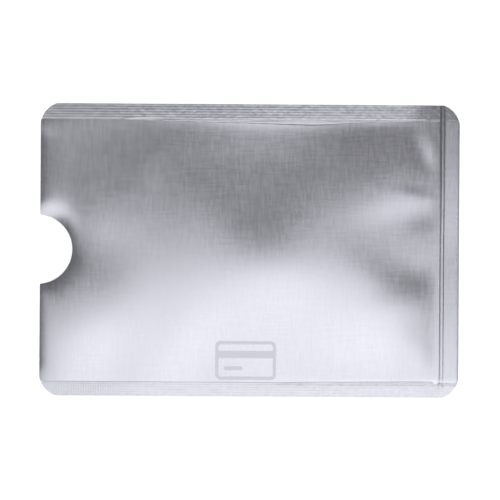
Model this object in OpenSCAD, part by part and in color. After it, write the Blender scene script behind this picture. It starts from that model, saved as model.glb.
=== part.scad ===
// Shielding sleeve for one payment card, in millimetres.
//
// Two panels of a three-layer laminate (satin outer film, aluminium foil, heat-seal lining) lie face
// to face. Their linings are fused along both long sides and across one end, which leaves a flat
// pocket that is open at the mouth. A thumb notch is punched through both panels at the mouth.
//
// The sleeve lies on its back. +X runs from the mouth to the sealed end, +Y to the upper long
// seal, and +Z from the back panel to the front panel. The origin is on the surface it lies on,
// under the middle of its outline.

/* [Card] */
// Length of the card that the pocket takes
card_l = 85.6; // [70:0.1:110]
// Width of the card
card_w = 54; // [40:0.1:80]
// Thickness of the card
card_t = 0.76; // [0.4:0.02:2]

/* [Pocket] */
// Room between the inner end of the card and the shoulder at the sealed end
card_end_clearance = 0.1; // [0:0.05:2]
// Room between the card and each side shoulder
card_side_clearance = 0.05; // [0:0.05:2]
// Room over the thickness of the card, shared by its two faces
card_face_clearance = 0.44; // [0.2:0.02:2]
// Width of the rounded shoulder between a seal and the flat of the pocket
shoulder_w = 1.3; // [0.8:0.1:4]

/* [Laminate] */
// Thickness of the satin outer film
film_t = 0.05; // [0.02:0.01:0.2]
// Thickness of the aluminium foil
foil_t = 0.02; // [0.01:0.01:0.1]
// Thickness of the heat-seal lining
lining_t = 0.06; // [0.05:0.01:0.2]

/* [Seals] */
// Width of each long seal
side_seal_w = 3.4; // [2:0.1:6]
// Width of the seal across the closed end
end_seal_w = 4; // [3:0.1:8]
// Distance from one crimp groove of a long seal to the next
crimp_pitch = 0.55; // [0.4:0.05:1]
// Width of a crimp groove of a long seal
crimp_w = 0.36; // [0.2:0.02:0.38]
// Depth that the crimp grooves are pressed into each face
crimp_depth = 0.04; // [0.01:0.005:0.045]
// How much lower the end seal is pressed than the crests of the long seals
end_press = 0.012; // [0.004:0.002:0.02]
// Distance from the pocket to the middle of the first groove of the end seal
end_groove_inset = 0.35; // [0.3:0.05:1]
// Distance from that groove to the second one
end_groove_pitch = 0.8; // [0.6:0.05:1.2]
// Width of a groove of the end seal
end_groove_w = 0.5; // [0.2:0.05:0.55]

/* [Outline] */
// Radius of the die that rounds the corners
corner_r = 5.1; // [2:0.1:10]
// How far the corner die stands outside each long edge, which leaves a faint kink there
corner_side_overcut = 0.25; // [0.1:0.05:0.6]
// How far the corner die stands outside the edges at the mouth and the sealed end
corner_end_overcut = 0.05; // [0.05:0.05:0.6]

/* [Mouth] */
// Diameter of the thumb notch
notch_d = 15; // [14:0.5:24]
// Depth of the thumb notch from the mouth
notch_depth = 7; // [3:0.5:7]
// Width of the strip along the mouth where each panel turns in
lip_w = 1.6; // [0.8:0.1:4]
// How far each panel turns in at the mouth
lip_drop = 0.14; // [0.02:0.01:0.16]

/* [Hidden] */

SHOULDER_STEPS = 6; // straight runs along a shoulder
LIP_STEPS = 4; // straight runs along the lip at the mouth
END_GROOVES = 2;
CIRCLE_FN = 96;
overrun = 1; // how far every cutting body runs past what it cuts, and what is trimmed past its trim

laminate_t = film_t + foil_t + lining_t;
pocket_gap = card_t + card_face_clearance;
shoulder_h = pocket_gap / 2;
mid_z = laminate_t + shoulder_h; // height of the plane where the two linings meet
tall = 2 * (mid_z + 3 * overrun); // height of the bodies that trim everything, above and below

pocket_w = card_w + 2 * (card_side_clearance + shoulder_w);
pocket_l = card_l + card_end_clearance + shoulder_w;
sleeve_w = pocket_w + 2 * side_seal_w;
sleeve_l = pocket_l + end_seal_w;
mouth_x = -sleeve_l / 2;
pocket_end_x = mouth_x + pocket_l;

// Heights are counted from the plane where the linings meet, without the laminate's own thickness.

// A quarter sine: steep where it leaves a seal or a lip, and level where it reaches the flat.
function swell(share) = sin(90 * share);

// A V groove across a profile, as [distance from the edge, height] points.
function groove(centre, width, base) =
    [[centre - width / 2, base], [centre, -crimp_depth], [centre + width / 2, base]];

// Points over the rounded shoulder, from just past a seal of width seal_w to the flat.
function shoulder(seal_w) = [
    for (i = [1 : SHOULDER_STEPS])
        [seal_w + shoulder_w * i / SHOULDER_STEPS, shoulder_h * swell(i / SHOULDER_STEPS)]
];

// The long seal: as many grooves as fit, centred in its width.
side_grooves = floor(side_seal_w / crimp_pitch);
side_margin = (side_seal_w - side_grooves * crimp_pitch) / 2;
function side_edge(run_out) = concat(
    [[-run_out, 0]],
    [for (i = [0 : side_grooves - 1]) each groove(side_margin + (i + 1 / 2) * crimp_pitch, crimp_w, 0)],
    [[side_seal_w, 0]],
    shoulder(side_seal_w)
);

// The end seal: a plain pressed band, then the grooves beside the pocket.
function end_groove_at(i) = end_seal_w - end_groove_inset - (END_GROOVES - 1 - i) * end_groove_pitch;
function end_edge(run_out) = concat(
    [[-run_out, -end_press]],
    [for (i = [0 : END_GROOVES - 1]) each groove(end_groove_at(i), end_groove_w, -end_press)],
    [[end_seal_w, 0]],
    shoulder(end_seal_w)
);

// The mouth: the flat of the panel turns in towards its cut edge.
function lip(run_out) = concat(
    [[mouth_x - run_out, shoulder_h - lip_drop]],
    [for (i = [1 : LIP_STEPS]) [mouth_x + lip_w * i / LIP_STEPS,
        shoulder_h - lip_drop * (1 - swell(i / LIP_STEPS))]]
);

function reversed(points) = [for (i = [len(points) - 1 : -1 : 0]) points[i]];

// Lowers a line of [across, height] points by depth and closes it down to floor_z into a section.
function section(points, depth, floor_z) = concat(
    [for (p = points) [p[0], p[1] - depth]],
    [[points[len(points) - 1][0], floor_z], [points[0][0], floor_z]]
);

// All that lies under a panel's surface, depth below its outer face. The section across the sleeve
// and the section along it are both swept straight, and the lower of the two counts, so that
// shoulders meet in mitres and the grooves of two seals cross in the corners.
module under(depth, run_out = 0) {
    across = concat(
        [for (p = side_edge(run_out)) [p[0] - sleeve_w / 2, p[1]]],
        [for (p = reversed(side_edge(run_out))) [sleeve_w / 2 - p[0], p[1]]]
    );
    along = concat(
        lip(run_out),
        [for (p = reversed(end_edge(run_out))) [sleeve_l / 2 - p[0], p[1]]]
    );
    sunk = depth - laminate_t;
    floor_z = -mid_z - overrun - run_out;
    intersection() {
        rotate([90, 0, 90])
            linear_extrude(sleeve_l + 2 * run_out, center = true) polygon(section(across, sunk, floor_z));
        rotate([90, 0, 0])
            linear_extrude(sleeve_w + 2 * run_out, center = true) polygon(section(along, sunk, floor_z));
    }
}

// What the dies punch away: the four corners and the thumb notch.
module punched_away() {
    centre_x = sleeve_l / 2 + corner_end_overcut - corner_r;
    centre_y = sleeve_w / 2 + corner_side_overcut - corner_r;
    for (x = [-1, 1], y = [-1, 1])
        translate([x * centre_x, y * centre_y, 0])
            difference() {
                translate([x, y, 0] * (corner_r + overrun) / 2)
                    cube([corner_r + overrun, corner_r + overrun, tall], center = true);
                cylinder(h = tall + overrun, r = corner_r, center = true, $fn = CIRCLE_FN);
            }
    translate([mouth_x + notch_depth - notch_d / 2, 0, 0])
        cylinder(h = tall, d = notch_d, center = true, $fn = CIRCLE_FN);
}

// The area of the pocket, between the seals, as a tall block.
module pocket_area() {
    translate([mouth_x - overrun, -pocket_w / 2, -tall / 2])
        cube([pocket_l + overrun, pocket_w, tall]);
}

// The area of one long seal, over the sleeve's whole length.
module long_seal_area() {
    translate([mouth_x - overrun, pocket_w / 2, -tall / 2])
        cube([sleeve_l + 2 * overrun, side_seal_w + overrun, tall]);
}

// The area of the end seal, between the two long seals.
module end_seal_area() {
    translate([pocket_end_x, -pocket_w / 2, -tall / 2])
        cube([end_seal_w + overrun, pocket_w, tall]);
}

// One layer of the front panel: depth is how far its outer face lies under the panel's.
module layer(depth, thickness) {
    difference() {
        under(depth);
        under(depth + thickness, overrun);
        punched_away();
    }
}

// The fused linings inside an area: all that lies between the two foils.
module fused_linings() {
    difference() {
        intersection() {
            under(film_t + foil_t);
            mirror([0, 0, 1]) under(film_t + foil_t);
            children();
        }
        punched_away();
    }
}

module front_side() {
    translate([0, 0, mid_z]) children();
}

module back_side() {
    translate([0, 0, mid_z]) mirror([0, 0, 1]) children();
}

module film() {
    color([0.74, 0.75, 0.77]) layer(0, film_t);
}

module foil() {
    color([0.86, 0.87, 0.88]) layer(film_t, foil_t);
}

// The lining is its own layer only over the pocket. In the seals it is part of the fused bands.
module lining() {
    color([0.80, 0.82, 0.84])
        intersection() {
            layer(film_t + foil_t, lining_t);
            pocket_area();
        }
}

module upper_long_seal() {
    color([0.66, 0.68, 0.71]) front_side() fused_linings() long_seal_area();
}

module lower_long_seal() {
    mirror([0, 1, 0]) upper_long_seal();
}

module end_seal() {
    color([0.66, 0.68, 0.71]) front_side() fused_linings() end_seal_area();
}

front_side() film();  // front_film
front_side() foil();  // front_foil
front_side() lining();  // front_lining
back_side() film();  // back_film
back_side() foil();  // back_foil
back_side() lining();  // back_lining
upper_long_seal();
lower_long_seal();
end_seal();
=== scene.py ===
import math

import bpy
import numpy as np
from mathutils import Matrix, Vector


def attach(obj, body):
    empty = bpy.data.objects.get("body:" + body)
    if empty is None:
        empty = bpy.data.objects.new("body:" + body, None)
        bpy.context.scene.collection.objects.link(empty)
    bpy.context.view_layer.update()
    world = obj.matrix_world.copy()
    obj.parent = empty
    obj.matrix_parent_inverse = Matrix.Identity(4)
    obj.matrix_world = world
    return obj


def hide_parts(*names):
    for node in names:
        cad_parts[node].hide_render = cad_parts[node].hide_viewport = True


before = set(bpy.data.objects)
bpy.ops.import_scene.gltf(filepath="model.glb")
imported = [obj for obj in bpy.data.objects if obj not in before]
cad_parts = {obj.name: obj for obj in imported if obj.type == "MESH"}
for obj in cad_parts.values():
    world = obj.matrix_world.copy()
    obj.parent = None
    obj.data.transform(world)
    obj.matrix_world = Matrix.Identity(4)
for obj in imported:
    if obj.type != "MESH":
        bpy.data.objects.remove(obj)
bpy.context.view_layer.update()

# The sleeve's sizes, in millimetres, as in the CAD model. The outline and the notch are where the
# solids have them. The panels here are softer: they billow, dent and crease.
MM = 0.001
HALF_L, HALF_W = 45.5, 31.75
SIDE_SEAL, END_SEAL = 3.4, 4.0
MID_Z = 0.73                    # the plane where the two linings meet
PANEL_T = 0.13                  # film, foil and lining together
NOTCH_R, NOTCH_X = 7.5, -46.0
NOTCH_APEX = NOTCH_X + NOTCH_R
CORNER_R, CORNER_X, CORNER_Y = 5.1, 40.45, 26.9
SEAM_Y = HALF_W - SIDE_SEAL
SEAM_X = HALF_L - END_SEAL

# How high the panels rise, in millimetres. Here and below, a value that changes over the sleeve is
# written as its first value and then its steps (start, width, change), and a range as its start and
# width. A negative width runs the other way.
FRONT_RISE = (0.32, (-34, 26, 0.16), (22, 16, -0.31))
BACK_RISE = 0.32

# Widths of the round shoulders inside the front panel's long seams, the back panel's and the end seal.
# The front panel's long seams lie this far outside their place in the CAD model, and the rise of both
# panels ends this far short of the end seal.
UPPER_SHOULDER = (0.25, (-25, 55, 1.15), (12, 16, -1.15), (33, 4, -0.19))
LOWER_SHOULDER = (0.2, (5, 20, 0.6))
BACK_SHOULDER, END_SHOULDER = 1.0, 2.5
UPPER_OUT = (0.32, (-36, 26, -0.32))
LOWER_OUT = 0.4
END_GAP = 0.35

# How far the panels turn in at the mouth, and over what reach. The front panel's lip is weaker over
# the notch, within OVER_REACH of its rim, under it, where it is shorter too, and by the two seams.
LIP_DROP, LIP_REACH = 0.14, 2.0
LIP_LESS_OVER, LIP_LESS_UNDER, LIP_SHORTER_UNDER = 0.5, 0.6, 0.5
LIP_LESS_UPPER, LIP_LESS_LOWER = 0.3, 0.6
OVER_NOTCH, UNDER_NOTCH, BY_SEAM = (-2, 4), (-2, -8), (23.5, 4)
OVER_REACH = 6

# How far the front panel turns in around the notch, and over what reach, by the angle in degrees
# about its centre: most on its upper right and least under it. The back panel's reach is even.
RIM_DROP = (0.17, (0, 50, 0.09), (50, 45, -0.07), (10, -50, -0.07), (-58, -30, -0.05))
RIM_REACH = (2.4, (50, 45, -0.7))
BACK_RIM_REACH = 2.4

# The front panel over the seals. The upper seal leans. The end seal bows about BOW_Y and tilts a
# little, and below y = 0 its bow starts further in. The closed edge curls up.
SEAL_LEAN = (0.0115, (-10, 20, 0.0025), (33, 7, -0.013))
BOW, BOW_Y, BOW_ROUND, BOW_TILT = 0.0055, 1, 6, 0.001
BOW_START, BOW_WIDTH = 40.5, 2
BOW_EARLIER, BOW_WIDER, BELOW_WIDTH = 4.5, 4, 6
END_CURL, CURL_RANGE = 0.2, (44, 3)

# The crimps: ridges along the long seals, and a crease beside the lower one
RIDGE_PITCH, RIDGE_DEPTH, RIDGE_INSET = 0.567, 0.001, 0.11
RIDGE_FADE = (1, (5, 35, -0.5))
CREASE_OUT, CREASE_W = 0.2, 0.5
CREASE_DEPTH = (0.0012, (-5, 15, 0.0048))

# The grooves across the closed end: distance in from its edge, widths of the steep inner side and of
# the long outer side, and depth. They fade out at the lower corner, and get deeper and their outer
# sides wider towards the upper one.
END_GROOVES = ((4.35, 0.25, 0.75, 0.04), (3.55, 0.2, 0.55, 0.034))
GROOVE_FADE = (-31.5, 5)
GROOVE_DEEPER = (0.75, (-30, 24, 0.25))
GROOVE_WIDER = (1.15, (15, -15, -0.4))

# Dents and folds: x, y, half-length, half-width, turn in degrees, tilt in thousandths
FRONT_PATCHES = [
    # the panel's broad billow
    (0, 16, 60, 5, 0, 2.5),
    (3, -17, 20, 8, 0, -13),
    (7, -10, 7, 4, 0, -11),
    # the V of two slack folds that meet in the middle
    (3, 5, 6, 5, 0, 8),
    (-6, 11, 6, 3, -40, 3),
    (10, 13, 7, 3, 40, 2),
    # under the upper seal
    (5, 29.5, 18, 2.4, 0, -26),
    (1, 23, 11, 3, 0, -6),
    (24, 25, 7, 3, 0, 5),
    (-14, 26, 8, 2, 0, 3),
    (-34, 27, 12, 2.5, 0, -5),
    (-40, 22, 7, 4, 0, -4),
    (-20, 16, 3, 4, -30, -3),
    # three bright hollows above the lower seal
    (-12, -21, 7, 3.2, 45, -15),
    (24, -20, 6, 3.5, -20, -22),
    (-31, -21, 4.5, 3.8, 30, -11),
    # around the notch
    (-41, 4.5, 5, 4.5, 0, 13),
    (-37.5, 9.5, 2.8, 3.5, 0, 4),
    (-33, 4, 6, 4, 0, -5),
    (-33, -6, 6, 5, 0, 8),
    (-39, -15, 7, 4, 0, 5),
    # tongues that run in from the sealed end
    (32.5, -6.9, 8, 2.9, -34, 11.5),
    (36.5, -6.8, 3, 2.0, -8, 8),
    (29.5, -10.5, 3.5, 2, 0, 4),
    (39.5, -22.5, 2, 2.5, 0, 6),
    (38.5, -15, 2.6, 7.5, 0, 2.5),
    (36, -18, 3.5, 3, 0, 7),
    (33.5, 9.8, 8, 2.5, 13, -11),
    (37.5, 5.8, 2.4, 1.6, 0, 5),
    (31, 15, 6, 2.8, 10, -5),
    (27, 17.5, 4, 3, 0, 3),
    # small creases at the sealed end and in its upper corner
    (36.4, 13, 3.2, 0.9, -10, 9),
    (38.9, 21.5, 3.5, 1.4, -63, -12),
    (36.6, 19.5, 2.5, 1.1, -60, 5),
    (34, 24.5, 1.2, 1, 0, 3),
    (28.5, 27.7, 4, 0.5, 0, -6),
    (34, 19, 2, 3, 20, 2),
]
BACK_PATCHES = [
    (0, 15, 55, 9, 0, 10),
    (0, -15, 55, 9, 0, -10),
    (-16, 6, 9, 5, 30, 7),
    (12, -4, 10, 5, -25, -7),
    (30, 8, 8, 4, 20, 9),
    (33, -9, 8, 4, -28, -9),
    (-30, -12, 8, 5, -20, 5),
]

# Coefficients of a short series for the error function, the innermost first
ERF_SCALE = 0.3275911
ERF_SERIES = (1.061405429, -1.453152027, 1.421413741, -0.284496736, 0.254829592)


# Shapes of the two panels

def erf(z):
    """The error function, to better than a millionth."""
    far = np.abs(z)
    t = 1 / (1 + ERF_SCALE * far)
    rest = 0
    for coefficient in ERF_SERIES:
        rest = t * (coefficient + rest)
    return np.sign(z) * (1 - rest * np.exp(-far * far))


def swell(t):
    """A quarter sine from 0 to 1: steep at its start and level at its end."""
    return np.sin(np.clip(t, 0, 1) * np.pi / 2)


def smooth(t):
    """An S curve from 0 to 1, level at both ends."""
    t = np.clip(t, 0, 1)
    return t * t * (3 - 2 * t)


def rise(t, start, width):
    """An S curve from 0 at start to 1 at start + width."""
    return smooth((t - start) / width)


def stepped(t, value, *steps):
    """The value at t after its steps (start, width, change)."""
    for start, width, change in steps:
        value = value + change * rise(t, start, width)
    return value


def tilted_patch(x, y, cx, cy, along, across, turn, tilt):
    """Height that an oval patch adds, whose surface leans by tilt towards +Y at its middle."""
    c, s = math.cos(math.radians(turn)), math.sin(math.radians(turn))
    a = c * c / along ** 2 + s * s / across ** 2
    d = s * s / along ** 2 + c * c / across ** 2
    b = c * s * (1 / along ** 2 - 1 / across ** 2)
    dx = x - cx
    reach = np.exp(-(a - b * b / d) * dx * dx / 2) * math.sqrt(math.pi / (2 * d)) * tilt
    k = math.sqrt(d / 2)
    return reach * (erf(k * (SEAM_Y - cy + b * dx / d)) - erf(k * (y - cy + b * dx / d)))


def patched(x, y, patches):
    """Height that all patches of a list add. Their tilts are in thousandths."""
    h = 0 * y
    for cx, cy, along, across, turn, tilt in patches:
        h = h + tilted_patch(x, y, cx, cy, along, across, turn, tilt / 1000)
    return h


def inside_seams(x, y, upper_w, lower_w, upper_out=0.0, lower_out=0.0):
    """A factor that brings a panel down to the seams over the widths of its shoulders.

    The long seams lie upper_out and lower_out outside their place in the CAD model.
    """
    end = swell((SEAM_X - END_GAP - x) / END_SHOULDER)
    return swell((SEAM_Y + upper_out - y) / upper_w) * swell((SEAM_Y + lower_out + y) / lower_w) * end


def notch_drop(x, y):
    """How far the front panel turns in around the notch."""
    rim = np.maximum(np.hypot(x - NOTCH_X, y) - NOTCH_R, 0)
    angle = np.degrees(np.arctan2(y, x - NOTCH_X))
    return stepped(angle, *RIM_DROP) * np.exp(-rim / stepped(angle, *RIM_REACH))


def mouth_drop(x, y):
    """How far the front panel turns in at the mouth: less over and under the notch and by the seams."""
    rim = np.hypot(x - NOTCH_X, y) - NOTCH_R
    over = rise(y, *OVER_NOTCH) * (1 - smooth(rim / OVER_REACH))
    under = rise(y, *UNDER_NOTCH)
    by_seam = np.where(y > 0, LIP_LESS_UPPER, LIP_LESS_LOWER) * rise(np.abs(y), *BY_SEAM)
    drop = LIP_DROP * (1 - LIP_LESS_OVER * over) * (1 - LIP_LESS_UNDER * under) * (1 - by_seam)
    return drop * np.exp(-(x + HALF_L) / (LIP_REACH * (1 - LIP_SHORTER_UNDER * under)))


def front_height(x, y):
    """Height of the front panel over the seals."""
    h = stepped(x, *FRONT_RISE) + patched(x, y, FRONT_PATCHES)
    h = h - notch_drop(x, y) - mouth_drop(x, y)
    upper_w, lower_w = stepped(x, *UPPER_SHOULDER), stepped(x, *LOWER_SHOULDER)
    h = h * inside_seams(x, y, upper_w, lower_w, stepped(x, *UPPER_OUT), LOWER_OUT)
    inner_y = np.clip(y, -SEAM_Y, SEAM_Y)
    bow = BOW * (np.hypot(inner_y - BOW_Y, BOW_ROUND) - BOW_ROUND) + BOW_TILT * inner_y
    below = smooth(-y / BELOW_WIDTH)
    band = rise(x, BOW_START - BOW_EARLIER * below, BOW_WIDTH + BOW_WIDER * below)
    h = h + stepped(x, *SEAL_LEAN) * np.maximum(y - SEAM_Y, 0) + bow * band
    return h + END_CURL * rise(x, *CURL_RANGE) ** 2


def back_height(x, y):
    """Depth of the back panel under the seals."""
    h = BACK_RISE + patched(x, y, BACK_PATCHES)
    rim = np.maximum(np.hypot(x - NOTCH_X, y) - NOTCH_R, 0)
    h = h - LIP_DROP * np.maximum(np.exp(-(x + HALF_L) / LIP_REACH), np.exp(-rim / BACK_RIM_REACH))
    return h * inside_seams(x, y, BACK_SHOULDER, BACK_SHOULDER)


def crimp(x, y):
    """How deep the sealing jaws pressed the film."""
    out = np.abs(y) - SEAM_Y
    ridges = 0.5 + 0.5 * np.cos((out - RIDGE_INSET) * 2 * np.pi / RIDGE_PITCH)
    depth = RIDGE_DEPTH * stepped(x, *RIDGE_FADE) * ridges * (out > RIDGE_INSET)
    crease = stepped(x, *CREASE_DEPTH) * np.exp(-((out - CREASE_OUT) / CREASE_W) ** 2)
    depth = depth + crease * (y < 0)
    along_end = stepped(y, *GROOVE_DEEPER) * rise(y, *GROOVE_FADE)
    wider = stepped(y, *GROOVE_WIDER)
    for inset, inner_w, outer_w, deep in END_GROOVES:
        past = x - (HALF_L - inset)
        across = np.clip(np.maximum(past / (outer_w * wider), -past / inner_w), 0, 1)
        depth = depth + deep * along_end * (0.5 + 0.5 * np.cos(np.pi * across))
    return depth


# Sheets with the sleeve's outline, in millimetres. Columns are laid out from the mouth and rows from
# the middle, in runs (end, step). Columns also stand at these angles, in degrees, of the notch and of
# the corners.
FINE_COLUMNS = ((-43.5, 0.14), (-39.5, 0.2), (NOTCH_APEX, 0.1), (-37, 0.15), (36, 0.4), (HALF_L, 0.09))
PLAIN_COLUMNS = ((-43.5, 0.25), (NOTCH_APEX, 0.4), (-36, 0.4), (38, 0.8), (SEAM_X, 0.2), (HALF_L, 0.5))
FINE_ROWS = ((25, 0.33), (SEAM_Y, 0.09), (HALF_W, RIDGE_PITCH / 8))
PLAIN_ROWS = ((10, 0.4), (26, 0.8), (SEAM_Y, 0.2), (HALF_W, 0.6))
ARC_ANGLES = range(4, 90, 6)

# Least distances between two columns, between two rows, and of either from the last one
COLUMN_GAP, ROW_GAP, LAST_GAP = 0.012, 0.004, 0.01

# The step that slopes are taken over, the scale and middle of the texture coordinates, and the angle
# from which an edge is sharp
SLOPE_STEP = 0.005
UV_PER_METRE, UV_MIDDLE = 10, 0.5
SHARP_ANGLE = math.radians(60)


def spread(start, *runs):
    """Places from start over the runs (end, step), each in equal steps of about its step."""
    out = [start]
    for end, step in runs:
        n = max(1, round((end - out[-1]) / step))
        out.extend(np.linspace(out[-1], end, n + 1)[1:])
    return out


def merged(values, least):
    """The values in order, without those that follow another by less than least."""
    out = []
    for v in sorted(values):
        if not out or v - out[-1] > least:
            out.append(v)
    out[-1] = max(values)
    return np.array(out)


def columns(fine):
    """The x of each column. One stands at the apex of the notch."""
    xs = spread(-HALF_L, *(FINE_COLUMNS if fine else PLAIN_COLUMNS))
    arc = [math.cos(math.radians(t)) for t in ARC_ANGLES]
    xs += [NOTCH_X + NOTCH_R * c for c in arc if NOTCH_X + NOTCH_R * c > -HALF_L]
    cut = [CORNER_X + CORNER_R * c for c in arc if CORNER_X + CORNER_R * c < HALF_L]
    xs += cut + [-v for v in cut]
    xs = merged(xs, COLUMN_GAP)
    xs[np.argmin(np.abs(xs - NOTCH_APEX))] = NOTCH_APEX
    return xs


def outline(xs):
    """Lowest and highest y of the upper half at each x."""
    past = np.maximum(np.abs(xs) - CORNER_X, 0)
    hi = np.where(past > 0, CORNER_Y + np.sqrt(np.maximum(CORNER_R ** 2 - past ** 2, 0)), HALF_W)
    lo = np.sqrt(np.maximum(NOTCH_R ** 2 - (xs - NOTCH_X) ** 2, 0))
    lo = np.where(xs >= NOTCH_APEX, 0, lo)
    return lo, np.minimum(hi, HALF_W)


def plan(fine, x_end, y_end):
    """A sheet of quads in plan: points, faces, and its rim as a loop of point numbers."""
    xs = columns(fine)
    rows = np.array(spread(0, *(FINE_ROWS if fine else PLAIN_ROWS)))
    xs = np.append(xs[xs < x_end - LAST_GAP], x_end)
    rows = np.append(rows[rows < y_end - LAST_GAP], y_end)
    lo, hi = outline(xs)
    hi = np.minimum(hi, y_end)
    n, m = len(xs), len(rows)
    j = np.arange(m)
    y = np.clip(rows[None, :], lo[:, None] + j * ROW_GAP, hi[:, None] - (m - 1 - j) * ROW_GAP)
    y[:, 0] = lo
    first_whole = int(np.argmin(np.abs(xs - NOTCH_APEX)))
    upper = np.arange(n * m).reshape(n, m)
    lower = upper + n * m
    x = np.repeat(xs, m)
    pts = np.concatenate([np.stack([x, y.ravel()], 1), np.stack([x, -y.ravel()], 1)])
    lower[first_whole:, 0] = upper[first_whole:, 0]
    up = np.stack([upper[:-1, :-1], upper[1:, :-1], upper[1:, 1:], upper[:-1, 1:]], -1).reshape(-1, 4)
    down = np.stack([lower[:-1, :-1], lower[:-1, 1:], lower[1:, 1:], lower[1:, :-1]], -1).reshape(-1, 4)
    faces = np.concatenate([up, down])
    rim = np.concatenate([
        upper[first_whole::-1, 0], upper[0, 1:], upper[1:, -1], upper[-1, -2::-1],
        lower[-1, 1:], lower[-2::-1, -1], lower[0, -2::-1], lower[1:first_whole, 0],
    ])
    used = np.unique(faces)
    back = np.full(len(pts), -1)
    back[used] = np.arange(len(used))
    return pts[used], back[faces], back[rim]


def facing(surface, x, y, side):
    """Unit normals of a surface, from its slopes."""
    e = SLOPE_STEP
    slope_x = (surface(x + e, y) - surface(x - e, y)) / (2 * e)
    slope_y = (surface(x, y + e) - surface(x, y - e)) / (2 * e)
    normals = np.column_stack([-slope_x, -slope_y, np.full(len(x), side)])
    return normals / np.linalg.norm(normals, axis=1)[:, None]


def layer(name, side, depth, thick, fine, x_end, y_end):
    """One layer of a panel as a closed sheet. side is 1 for the front and -1 for the back.

    A fine sheet carries the crimps on its outer face.
    """
    pts, faces, rim = plan(fine, x_end, y_end)
    x, y = pts[:, 0], pts[:, 1]
    height = front_height if side > 0 else back_height

    def pressed(x, y):
        return height(x, y) - (crimp(x, y) if fine else 0)

    outer = MID_Z + side * (pressed(x, y) + PANEL_T - depth)
    inner = MID_Z + side * (height(x, y) + PANEL_T - depth - thick)
    n = len(pts)
    verts = np.concatenate([np.column_stack([x, y, outer]), np.column_stack([x, y, inner])]) * MM
    top, bottom = faces, faces[:, ::-1] + n
    nxt = np.roll(rim, -1)
    wall = np.stack([rim, nxt, nxt + n, rim + n], -1)
    quads = np.concatenate([top, bottom, wall])
    if side < 0:
        quads = quads[:, ::-1]
    mesh = bpy.data.meshes.new(name)
    mesh.from_pydata(verts.tolist(), [], quads.tolist())
    uv = mesh.uv_layers.new(name="UVMap")
    loop_vert = np.empty(len(mesh.loops), dtype=np.int32)
    mesh.loops.foreach_get("vertex_index", loop_vert)
    uv_places = verts[loop_vert, :2] * UV_PER_METRE + UV_MIDDLE
    uv.data.foreach_set("uv", uv_places.astype(np.float32).ravel())
    smooth_face = np.ones(len(quads), dtype=bool)
    smooth_face[-len(wall):] = False
    mesh.polygons.foreach_set("use_smooth", smooth_face)
    mesh.set_sharp_from_angle(angle=SHARP_ANGLE)
    outward = np.concatenate([facing(pressed, x, y, side), -facing(height, x, y, side)])
    normals = outward[loop_vert]
    normals[-4 * len(wall):] = 0
    mesh.normals_split_custom_set(normals.tolist())
    obj = bpy.data.objects.new(name, mesh)
    bpy.context.scene.collection.objects.link(obj)
    return obj


# Materials

class Nodes:
    """Short forms for the shader nodes used below."""

    def __init__(self, tree):
        self.tree = tree
        tree.nodes.clear()

    def new(self, kind, **values):
        node = self.tree.nodes.new(kind)
        for key, value in values.items():
            setattr(node, key, value)
        return node

    def feed(self, socket, value):
        """Links a socket to another one, or sets its value."""
        if isinstance(value, bpy.types.NodeSocket):
            self.tree.links.new(value, socket)
        else:
            socket.default_value = value

    def math(self, op, a, b=0.0, c=0.0, clamp=False):
        node = self.new("ShaderNodeMath", operation=op, use_clamp=clamp)
        for socket, value in zip(node.inputs, (a, b, c)):
            self.feed(socket, value)
        return node.outputs[0]

    def product(self, value, *factors):
        """The value times each of the factors."""
        for factor in factors:
            value = self.math("MULTIPLY", value, factor)
        return value

    def wave(self, kind, value, pitch):
        """A sine or cosine of the value that repeats after each pitch."""
        return self.math(kind, self.product(value, 2 * math.pi / pitch))

    def ramp(self, value, lo, hi, a=0.0, b=1.0):
        """An S curve of the value, from a at lo to b at hi."""
        node = self.new("ShaderNodeMapRange", interpolation_type="SMOOTHSTEP")
        for socket, v in zip(node.inputs, (value, lo, hi, a, b)):
            self.feed(socket, v)
        return node.outputs[0]

    def mix(self, factor, a, b):
        node = self.new("ShaderNodeMix", data_type="FLOAT")
        self.feed(node.inputs[0], factor)
        self.feed(node.inputs[2], a)
        self.feed(node.inputs[3], b)
        return node.outputs[0]

    def mix_colour(self, factor, a, b):
        node = self.new("ShaderNodeMix", data_type="RGBA")
        self.feed(node.inputs[0], factor)
        self.feed(node.inputs[6], a)
        self.feed(node.inputs[7], b)
        return node.outputs[2]

    def place(self):
        return self.new("ShaderNodeTexCoord").outputs["Object"]

    def apart(self, vector):
        node = self.new("ShaderNodeSeparateXYZ")
        self.feed(node.inputs[0], vector)
        return node.outputs

    def noise(self, stretch, scale, detail=1.0):
        """Noise over the object. stretch is a factor for the scale along each axis."""
        place = self.new("ShaderNodeMapping")
        self.feed(place.inputs["Vector"], self.place())
        place.inputs["Scale"].default_value = stretch
        node = self.new("ShaderNodeTexNoise")
        self.feed(node.inputs["Vector"], place.outputs[0])
        node.inputs["Scale"].default_value = scale
        node.inputs["Detail"].default_value = detail
        return node.outputs["Fac"]

    def bump(self, height, distance, strength=1.0, normal=None):
        node = self.new("ShaderNodeBump")
        node.inputs["Strength"].default_value = strength
        node.inputs["Distance"].default_value = distance
        self.feed(node.inputs["Height"], height)
        if normal:
            self.feed(node.inputs["Normal"], normal)
        return node.outputs[0]


def principled(name):
    """A new material, its nodes and its shader."""
    material = bpy.data.materials.new(name)
    material.use_nodes = True
    n = Nodes(material.node_tree)
    out = n.new("ShaderNodeOutputMaterial")
    shader = n.new("ShaderNodeBsdfPrincipled")
    n.feed(out.inputs["Surface"], shader.outputs[0])
    return material, n, shader


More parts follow.
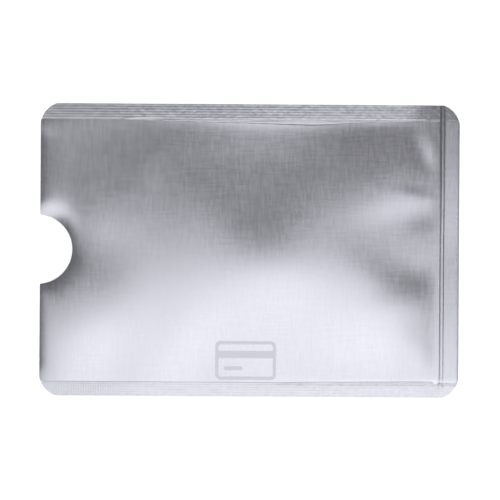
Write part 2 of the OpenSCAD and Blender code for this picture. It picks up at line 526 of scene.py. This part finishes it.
# The print, in millimetres: its middle and half the width of its soft edges. Then, for each form, its
# place from that middle, half sizes and corner radius.
MARK_X, MARK_Y, MARK_BLUR = -0.7, -23.9, 0.06
CARD_EDGE = (0, 0, 6.6, 4.2, 1.1)
CARD_FACE = (0, 0, 5.9, 3.5, 0.5)
CARD_STRIPE = (0, 1.3, 6.2, 0.8, 0.1)
CARD_BAR = (-2.7, -1.7, 2.0, 0.4, 0.2)


def card_mark(n):
    """A plain card with a stripe and a short bar, as a mask from 0 to 1."""
    x, y, _ = n.apart(n.place())

    def past(place, middle, flat):
        away = n.math("ABSOLUTE", n.math("SUBTRACT", place, middle * MM))
        return n.math("MAXIMUM", n.math("SUBTRACT", away, flat * MM), 0.0)

    def rounded(dx, dy, half_x, half_y, r):
        qx = past(x, MARK_X + dx, half_x - r)
        qy = past(y, MARK_Y + dy, half_y - r)
        square = n.math("ADD", n.product(qx, qx), n.product(qy, qy))
        return n.ramp(n.math("SQRT", square), (r + MARK_BLUR) * MM, (r - MARK_BLUR) * MM)

    ring = n.math("SUBTRACT", rounded(*CARD_EDGE), rounded(*CARD_FACE), clamp=True)
    return n.math("MAXIMUM", n.math("MAXIMUM", ring, rounded(*CARD_STRIPE)), rounded(*CARD_BAR))


# The film. Its threads are noise drawn out along y, the warp, and along x, the weft. Noise scales are
# per metre, and the distances of the bumps are in metres.
THREADS, THREAD_EDGES = 3000, (0.3, 0.7)
WARP, WEFT, WEFT_SHARE = (1.0, 0.12, 0.12), (0.07, 1.0, 0.07), 0.42
MOTTLE, MOTTLE_SCALE = (1.0, 0.45, 1.0), 1300
FILM_COLOURS = ((0.762, 0.769, 0.846, 1), (0.838, 0.845, 0.927, 1))
FILM_ROUGH = (0.133, 0.157)
FILM_ANISOTROPY = 0.5
WEAVE_BUMP, MOTTLE_BUMP, PRESS_BUMP = 2.5e-7, 4e-7, 1e-6
INK, INK_ROUGH = (0.35, 0.36, 0.39, 1), 0.5

# The knurl pressed into the long seals, in metres: its pitch and the width over which it sets in. It
# grows strong between two places along x near the mouth. There the film's colour is darkened along its
# lines as painted shade of the pressed grid. Elsewhere it comes in faint patches. The seals have small
# dents as well. Depths are parts of PRESS_BUMP.
KNURL_PITCH, PRESS_EDGE = 0.00053, 0.0003
KNURL_PLACES, KNURL_DEPTH = (-0.024, -0.034), 0.5
# Where the painted shade of the knurl grows in, and the darker colour that it paints
PAINTED_SHADE_PLACES, KNURL_PAINTED_SHADE = (-0.02, -0.034), (0.67, 0.68, 0.745, 1)
PAINTED_SHADE_MEAN, PAINTED_SHADE_CROSS, PAINTED_SHADE_RIDGE = 0.5, 0.4, 0.1
EVEN = (1.0, 1.0, 1.0)
PATCH_SCALE, PATCH_EDGES, PATCH_DEPTH = 160, (0.42, 0.62), 0.3
DENT, DENT_SCALE, DENT_EDGES, DENT_DEPTH = (1.0, 0.8, 1.0), 900, (0.3, 0.7), 2.5


def film_material(name, printed):
    """Satin metallised film: a fine woven grain, a soft mottle, and a knurl in the seals.

    The knurl is pressed into the surface, and near the mouth its grid is also painted faintly into the
    colour as darker shade.
    """
    material, n, shader = principled(name)
    warp = n.ramp(n.noise(WARP, THREADS), *THREAD_EDGES)
    weft = n.ramp(n.noise(WEFT, THREADS), *THREAD_EDGES)
    weave = n.mix(WEFT_SHARE, warp, weft)
    mottle = n.noise(MOTTLE, MOTTLE_SCALE)

    x, y, _ = n.apart(n.place())
    out = n.math("SUBTRACT", n.math("ABSOLUTE", y), (SEAM_Y + RIDGE_INSET) * MM)
    in_seal = n.ramp(out, 0.0, PRESS_EDGE)
    cross = n.wave("SINE", x, KNURL_PITCH)
    ridge = n.wave("COSINE", out, RIDGE_PITCH * MM)
    # Painted shade: near the mouth the knurl's lines darken the film's colour in a grid, as shade in
    # its pressed pits.
    painted_knurl_shade = n.math("MULTIPLY_ADD", ridge, PAINTED_SHADE_RIDGE, PAINTED_SHADE_MEAN)
    painted_knurl_shade = n.math("MULTIPLY_ADD", cross, PAINTED_SHADE_CROSS, painted_knurl_shade)
    painted_knurl_shade = n.product(painted_knurl_shade, n.ramp(x, *PAINTED_SHADE_PLACES), in_seal)

    colour = n.mix_colour(painted_knurl_shade, n.mix_colour(weave, *FILM_COLOURS), KNURL_PAINTED_SHADE)
    rough = n.mix(weave, *FILM_ROUGH)
    metal = 1.0
    if printed:
        mark = card_mark(n)
        colour = n.mix_colour(mark, colour, INK)
        rough = n.mix(mark, rough, INK_ROUGH)
        metal = n.math("SUBTRACT", 1.0, mark)
    n.feed(shader.inputs["Base Color"], colour)
    n.feed(shader.inputs["Roughness"], rough)
    n.feed(shader.inputs["Metallic"], metal)
    shader.inputs["Anisotropic"].default_value = FILM_ANISOTROPY
    n.feed(shader.inputs["Tangent"], n.new("ShaderNodeTangent", direction_type="UV_MAP").outputs[0])

    patchy = n.ramp(n.noise(EVEN, PATCH_SCALE), *PATCH_EDGES, 0.0, PATCH_DEPTH)
    near_mouth = n.ramp(x, *KNURL_PLACES, 0.0, KNURL_DEPTH)
    knurl = n.product(ridge, cross, n.math("MAXIMUM", patchy, near_mouth))
    dents = n.ramp(n.noise(DENT, DENT_SCALE), *DENT_EDGES, 0.0, DENT_DEPTH)
    press = n.product(n.math("ADD", knurl, dents), in_seal)
    grain = n.bump(weave, WEAVE_BUMP, normal=n.bump(mottle, MOTTLE_BUMP))
    n.feed(shader.inputs["Normal"], n.bump(press, PRESS_BUMP, normal=grain))
    return material


# The foil and the linings: stretch, scale and detail of their noise, and the colours and roughness
# that it mixes
FOIL_NOISE = ((1.0, 0.1, 1.0), 2600, 2.0)
FOIL_COLOURS, FOIL_ROUGH = ((0.84, 0.85, 0.87, 1), (0.91, 0.92, 0.94, 1)), (0.2, 0.3)
LINING_NOISE, LINING_ROUGH = (EVEN, 900, 3.0), (0.32, 0.45)
LINING_METAL, LINING_BUMP, LINING_BUMP_STRENGTH = 0.55, 1e-5, 0.3
LINING_COLOURS = ((0.66, 0.68, 0.70, 1), (0.78, 0.80, 0.82, 1))
FUSED_COLOURS = ((0.58, 0.60, 0.63, 1), (0.68, 0.70, 0.73, 1))


def foil_material():
    """Bright foil with fine streaks across the sleeve."""
    material, n, shader = principled("bright_foil")
    grain = n.noise(*FOIL_NOISE)
    n.feed(shader.inputs["Base Color"], n.mix_colour(grain, *FOIL_COLOURS))
    n.feed(shader.inputs["Roughness"], n.mix(grain, *FOIL_ROUGH))
    shader.inputs["Metallic"].default_value = 1.0
    return material


def lining_material(name, colours):
    """Pale lining with a soft cloudy grain."""
    material, n, shader = principled(name)
    cloud = n.noise(*LINING_NOISE)
    n.feed(shader.inputs["Base Color"], n.mix_colour(cloud, *colours))
    n.feed(shader.inputs["Roughness"], n.mix(cloud, *LINING_ROUGH))
    shader.inputs["Metallic"].default_value = LINING_METAL
    n.feed(shader.inputs["Normal"], n.bump(cloud, LINING_BUMP, LINING_BUMP_STRENGTH))
    return material


def dress(obj, material):
    """Gives an object this material alone."""
    obj.data.materials.clear()
    obj.data.materials.append(material)


film_looks = {
    "front": film_material("satin_film_front", True),
    "back": film_material("satin_film_back", False),
}
foil_look = foil_material()
lining_look = lining_material("heat_seal_lining", LINING_COLOURS)
seal_look = lining_material("fused_lining", FUSED_COLOURS)


# The pieces. Each layer lies a few thousandths of a millimetre under the one outside it, so none cuts
# through its neighbour. A layer has a name, its depth under the panel's face, its thickness, whether
# its mesh is fine, its reach and its material slot.
WHOLE, POCKET = (HALF_L, HALF_W), (SEAM_X, SEAM_Y)
LAYERS = [
    ("film", 0.0, 0.046, True, WHOLE, "outer_film"),
    ("foil", 0.052, 0.016, False, WHOLE, "shield_foil"),
    ("lining", 0.074, 0.056, False, POCKET, "seal_lining"),
]
for side, panel in ((1, "front"), (-1, "back")):
    looks = {"film": film_looks[panel], "foil": foil_look, "lining": lining_look}
    for kind, depth, thick, fine, reach, slot in LAYERS:
        piece = layer(f"{panel}_panel_{kind}", side, depth, thick, fine, *reach)
        dress(piece, looks[kind])
        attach(piece, "root")
        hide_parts(f"{panel}_{kind}")
for node in ("upper_long_seal", "lower_long_seal", "end_seal"):
    dress(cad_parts[node], seal_look)


# The floor, in metres
FLOOR_HALF, FLOOR_Z = 4, -2e-5
FLOOR_GREY, FLOOR_ROUGH = 0.93, 0.9

floor_mesh = bpy.data.meshes.new("floor")
corners = ((-1, -1), (1, -1), (1, 1), (-1, 1))
floor_points = [(x * FLOOR_HALF, y * FLOOR_HALF, FLOOR_Z) for x, y in corners]
floor_mesh.from_pydata(floor_points, [], [(0, 1, 2, 3)])
floor = bpy.data.objects.new("floor", floor_mesh)
bpy.context.scene.collection.objects.link(floor)
floor_look, _, shader = principled("pale_floor")
shader.inputs["Base Color"].default_value = (FLOOR_GREY, FLOOR_GREY, FLOOR_GREY, 1)
shader.inputs["Roughness"].default_value = FLOOR_ROUGH
shader.inputs["Specular IOR Level"].default_value = 0.0
dress(floor, floor_look)


# The studio above the table. A direction is given by how far it goes along X (u) and along Y (v) for
# each unit of rise. A wide soft box hangs on the -Y side, dimmer at its foot. It ends overhead and on
# the -X side, where dark flags stand beside it. Past the one overhead it is pale again. Lower down,
# all around, are pale walls with soft bands.
SOFT_BOX, SOFT_BOX_LOW, FLAG, BEYOND = 1.12, 0.75, 0.13, 0.72
BOX_FOOT, FLAG_END, WALLS_FROM = (-0.60, -0.45), (0.26, 0.34), (0.75, 1.0)
EDGE = 0.012                    # half the width of the box's soft edges
SIDE_EDGE, SIDE_TURN = 0.1135, math.radians(5)
WALL_LOW, WALL_HIGH, WALL_RISE = 0.50, 0.75, (0.15, 0.65)
BAND, BAND_RISE = 0.13, 0.3
LEAST_RISE = 0.02               # keeps u and v finite at the horizon

world = bpy.data.worlds.new("studio")
bpy.context.scene.world = world
world.use_nodes = True
n = Nodes(world.node_tree)
away_x, away_y, away_z = n.apart(n.new("ShaderNodeTexCoord").outputs["Generated"])
above = n.math("MAXIMUM", away_z, LEAST_RISE)
u = n.math("DIVIDE", away_x, above)
v = n.math("DIVIDE", away_y, above)
light = n.ramp(v, *BOX_FOOT, SOFT_BOX_LOW, SOFT_BOX)
past_side = n.math("ADD", n.product(u, -math.cos(SIDE_TURN)), n.product(v, math.sin(SIDE_TURN)))
light = n.mix(n.ramp(v, -EDGE, EDGE), light, FLAG)
light = n.mix(n.ramp(past_side, SIDE_EDGE - EDGE, SIDE_EDGE + EDGE), light, FLAG)
light = n.mix(n.ramp(v, *FLAG_END), light, BEYOND)
low = n.math("MAXIMUM", n.math("ABSOLUTE", u), n.math("ABSOLUTE", v))
bands = n.product(n.wave("SINE", away_z, BAND_RISE), BAND)
walls = n.math("ADD", n.ramp(away_z, *WALL_RISE, WALL_LOW, WALL_HIGH), bands)
light = n.mix(n.ramp(low, *WALLS_FROM), light, walls)
background = n.new("ShaderNodeBackground")
background.inputs["Color"].default_value = (1, 1, 1, 1)
n.feed(background.inputs["Strength"], light)
n.feed(n.new("ShaderNodeOutputWorld").inputs["Surface"], background.outputs[0])

# Four soft lamps stand around the table. They light the floor and leave no hot spots in the foil.
LAMP_SIZE, LAMP_AWAY, LAMP_RISE, LAMP_POWER = 0.5, 1.0, 0.6, 6.0
for name, turn in (("south_east", -45), ("north_east", 45), ("north_west", 135), ("south_west", 225)):
    lamp = bpy.data.lights.new(f"soft_{name}", "AREA")
    lamp.size = LAMP_SIZE
    lamp.energy = LAMP_POWER
    holder = bpy.data.objects.new(f"soft_{name}", lamp)
    holder.visible_glossy = False
    bpy.context.scene.collection.objects.link(holder)
    angle = math.radians(turn)
    place = Vector((math.cos(angle), math.sin(angle), LAMP_RISE)).normalized() * LAMP_AWAY
    holder.location = place
    holder.rotation_euler = place.to_track_quat("Z", "Y").to_euler()


# The camera looks straight down. The photograph is 500 pixels wide, with 4.598 pixels to a millimetre,
# and the sleeve lies a little askew in it.
EYE = (0.0001, 0.0001, 0.9)
PHOTO_W, PX_PER_MM, ROLL = 500, 4.598, math.radians(0.36)
SENSOR, CLIP_END = 36, 20

camera = bpy.data.cameras.new("camera")
camera.sensor_width = SENSOR
camera.lens = SENSOR * EYE[2] / (PHOTO_W / PX_PER_MM * MM)
camera.clip_end = CLIP_END
eye = bpy.data.objects.new("camera", camera)
bpy.context.scene.collection.objects.link(eye)
eye.location = EYE
eye.rotation_euler = (0, 0, ROLL)
bpy.context.scene.camera = eye
bpy.context.scene.view_settings.view_transform = "Standard"
bpy.context.scene.view_settings.look = "None"
